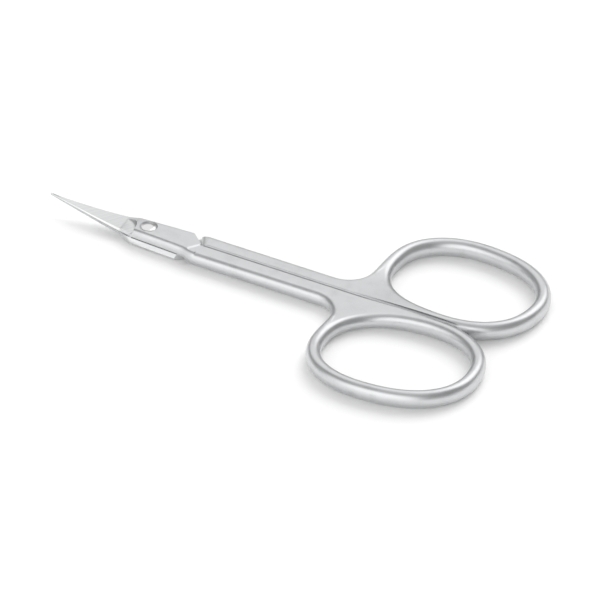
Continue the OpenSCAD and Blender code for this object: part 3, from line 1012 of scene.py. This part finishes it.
# %% A node tree that turns a profile
def turned_tree():
    tree = bpy.data.node_groups.new("turned_screw", "GeometryNodeTree")
    put = tree.interface.new_socket
    for name, kind in (
        ("Profile", "Geometry"),
        ("Steps", "Int"),
        ("Slot Width", "Float"),
        ("Slot Depth", "Float"),
        ("Slot Length", "Float"),
        ("Head Height", "Float"),
        ("Steel", "Material"),
    ):
        put(name=name, in_out="INPUT", socket_type="NodeSocket" + kind)
    put(name="Geometry", in_out="OUTPUT", socket_type="NodeSocketGeometry")
    given = add_node(tree, "NodeGroupInput").outputs
    size = add_node(tree, "GeometryNodeAttributeDomainSize", {0: given["Profile"]})
    columns = maths(tree, "ADD", given["Steps"], 1)
    grid = add_node(
        tree,
        "GeometryNodeMeshGrid",
        {"Vertices X": size.outputs["Point Count"], "Vertices Y": columns},
    )
    index = add_node(tree, "GeometryNodeInputIndex").outputs[0]
    ahead = maths(tree, "DIVIDE", maths(tree, "ADD", index, 0.5), columns)
    line = maths(tree, "FLOOR", ahead)
    column = maths(tree, "SUBTRACT", index, maths(tree, "MULTIPLY", line, columns))
    spot = add_node(
        tree,
        "GeometryNodeSampleIndex",
        {
            "Geometry": given["Profile"],
            "Value": add_node(tree, "GeometryNodeInputPosition").outputs[0],
            "Index": line,
        },
        data_type="FLOAT_VECTOR",
    )
    angle = maths(tree, "DIVIDE", maths(tree, "MULTIPLY", column, 2 * pi), given["Steps"])
    swing = add_node(
        tree,
        "ShaderNodeVectorRotate",
        {"Vector": spot.outputs[0], "Angle": angle},
        rotation_type="Z_AXIS",
    )
    rolled = add_node(
        tree,
        "GeometryNodeSetPosition",
        {"Geometry": grid.outputs[0], "Position": swing.outputs[0]},
    )
    closed = add_node(
        tree,
        "GeometryNodeMergeByDistance",
        {"Geometry": rolled.outputs[0], "Distance": SCREW_WELD * MM},
    )
    depth = maths(tree, "MULTIPLY", given["Slot Depth"], 2)
    size = add_node(
        tree,
        "ShaderNodeCombineXYZ",
        {0: given["Slot Length"], 1: given["Slot Width"], 2: depth},
    )
    block = add_node(tree, "GeometryNodeMeshCube", {"Size": size.outputs[0]})
    lift = add_node(tree, "ShaderNodeCombineXYZ", {2: given["Head Height"]})
    knife = add_node(
        tree,
        "GeometryNodeTransform",
        {"Geometry": block.outputs[0], "Translation": lift.outputs[0]},
    )
    slotted = add_node(
        tree,
        "GeometryNodeMeshBoolean",
        {0: closed.outputs[0], 1: knife.outputs[0]},
        operation="DIFFERENCE",
        solver="EXACT",
    )
    real = add_node(tree, "GeometryNodeRealizeInstances", {0: slotted.outputs[0]})
    painted = add_node(
        tree,
        "GeometryNodeSetMaterial",
        {"Geometry": real.outputs[0], "Material": given["Steel"]},
    )
    add_node(tree, "NodeGroupOutput", {0: painted.outputs[0]})
    return tree


# %% Turn the screw
def run_nodes(piece, tree, values):
    """Adds the tree as a modifier, with its inputs set by the sockets' identifiers."""
    step = piece.modifiers.new(tree.name, "NODES")
    step.node_group = tree
    for item in tree.interface.items_tree:
        if item.item_type == "SOCKET" and item.in_out == "INPUT" and item.name in values:
            step[item.identifier] = values[item.name]
    return settle(piece)


line_mesh = bpy.data.meshes.new("screw_profile")
line_points = [(r * MM, 0, z * MM) for r, z in screw_profile()]
line_mesh.from_pydata(line_points, [(k, k + 1) for k in range(len(line_points) - 1)], [])
pivot_screw = new_object("pivot_screw_turned", line_mesh)
run_nodes(
    pivot_screw,
    turned_tree(),
    {
        "Steps": SCREW_STEPS,
        "Slot Width": driver_w * MM,
        "Slot Depth": driver_depth * MM,
        "Slot Length": 2 * head_d * MM,
        "Head Height": head_sink * MM,
        "Steel": POLISHED,
    },
)
form = bmesh.new()
form.from_mesh(pivot_screw.data)
bmesh.ops.recalc_face_normals(form, faces=form.faces)
form.to_mesh(pivot_screw.data)
print("pivot screw", len(form.faces), "faces,", round(form.calc_volume() / MM**3, 1), "mm3")
form.free()
pivot_screw.data.transform(Matrix.Translation((pivot_x, 0, 0)))
shade(pivot_screw.data)

# %% Each piece rides on its body and replaces its node
for piece, node, body, slot in (
    (upper_half, "upper_half", "upper_body", "satin_steel"),
    (lower_half, "lower_half", "lower_body", "satin_steel"),
    (pivot_screw, "pivot_screw", "upper_body", "polished_steel"),
):
    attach(piece, body)
    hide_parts(node)

# %% [markdown]
# ## Floor, light and background
#
# The pair lies on a plain pale table under soft light. Steel shows what surrounds
# it, so the studio matters more than any lamp. Softboxes behind the pair and above it
# give its flats their even grey and the raised edges their light bands, and a low row
# in front lights the near sides. The darker walls between them give the dark bands.

# %% The table
# It glows faintly to the camera and to mirrors alone, so that it looks white without
# lighting the steel from below, and it keeps the pair's shadow.
FLOOR_SIZE, FLOOR_DROP, FLOOR_GLOW = 3.0, 0.02 * MM, 0.12


def table_material():
    material = bpy.data.materials.new("white_studio_table")
    material.use_nodes = True
    tree = material.node_tree
    tree.nodes.clear()
    rays = add_node(tree, "ShaderNodeLightPath").outputs
    seen = rays["Is Camera Ray"]
    for kind in ("Is Glossy Ray", "Is Transmission Ray"):
        seen = maths(tree, "MAXIMUM", seen, rays[kind])
    paint = add_node(tree, "ShaderNodeBsdfDiffuse", {"Color": linear("#F2F2F2")}).outputs[0]
    white = {"Color": linear("#FFFFFF"), "Strength": FLOOR_GLOW}
    glow = add_node(tree, "ShaderNodeEmission", white).outputs[0]
    both = add_node(tree, "ShaderNodeAddShader", {0: paint, 1: glow}).outputs[0]
    mixed = add_node(tree, "ShaderNodeMixShader", {0: seen, 1: paint, 2: both})
    add_node(tree, "ShaderNodeOutputMaterial", {"Surface": mixed.outputs[0]})
    return material


rim = FLOOR_SIZE / 2
corners = [(-rim, -rim), (rim, -rim), (rim, rim), (-rim, rim)]
floor_mesh = bpy.data.meshes.new("table")
floor_mesh.from_pydata([(x, y, -FLOOR_DROP) for x, y in corners], [], [(0, 1, 2, 3)])
floor_mesh.materials.append(table_material())
floor = new_object("table", floor_mesh)

# %% The studio around the table
# Each softbox: azimuth from +X and elevation of its middle, the angles from there at
# which it is full and gone, and its brightness. Between them the walls are darker.
SOFTBOXES = (
    (76, 47, 17, 41, 1.74),
    (140, 46, 20, 42, 1.06),
    (75, 78, 8, 34, 1.10),
    (-93, 12, 26, 47, 1.55),
    (-128, 12, 12, 38, 1.15),
    (-90, 80, 10, 75, 0.62),
)
WALL_LEVEL = 0.36

# Up to the first of these heights the studio is as white as the table, and above the
# second not at all
HORIZON_FULL, HORIZON_GONE = radians(2), radians(4)


def fade(tree, value, full, gone, bright):
    """Bright up to full, then softly down to nothing at gone."""
    return add_node(
        tree,
        "ShaderNodeMapRange",
        {0: value, 1: full, 2: gone, 3: bright, 4: 0.0},
        interpolation_type="SMOOTHSTEP",
    ).outputs[0]


def studio_world():
    world = bpy.data.worlds.new("studio")
    bpy.context.scene.world = world
    world.use_nodes = True
    tree = world.node_tree
    tree.nodes.clear()
    where = add_node(tree, "ShaderNodeTexCoord").outputs["Generated"]
    level = WALL_LEVEL
    for azimuth, elevation, full, gone, bright in SOFTBOXES:
        a, e = radians(azimuth), radians(elevation)
        middle = (cos(a) * cos(e), sin(a) * cos(e), sin(e))
        near = add_node(
            tree, "ShaderNodeVectorMath", {0: where, 1: middle}, operation="DOT_PRODUCT"
        )
        angle = maths(tree, "ARCCOSINE", near.outputs["Value"])
        box = fade(tree, angle, radians(full), radians(gone), bright)
        level = maths(tree, "MAXIMUM", level, box)
    height = add_node(tree, "ShaderNodeSeparateXYZ", {0: where}).outputs["Z"]
    horizon = fade(tree, height, sin(HORIZON_FULL), sin(HORIZON_GONE), 1.0)
    level = maths(tree, "MAXIMUM", level, horizon)
    back = add_node(tree, "ShaderNodeBackground", {"Color": (1, 1, 1, 1), "Strength": level})
    add_node(tree, "ShaderNodeOutputWorld", {0: back.outputs[0]})


studio_world()


# %% One soft lamp
# It stands behind the pair, so the soft shadow falls to the front. The steel doesn't
# mirror it, since the studio holds its softboxes already.
LAMP_SPOT, LAMP_SIZE, LAMP_WATTS = Vector((0.0, 1.1, 0.9)), 1.0, 9.0

lamp = bpy.data.lights.new("back_softbox", "AREA")
lamp.shape, lamp.size, lamp.energy = "SQUARE", LAMP_SIZE, LAMP_WATTS
lamp_object = new_object("back_softbox", lamp)
lamp_object.location = LAMP_SPOT
lamp_object.rotation_euler = LAMP_SPOT.to_track_quat("Z", "Y").to_euler()
lamp_object.visible_glossy = False

# %% Settings
bpy.context.scene.view_settings.view_transform = "Standard"
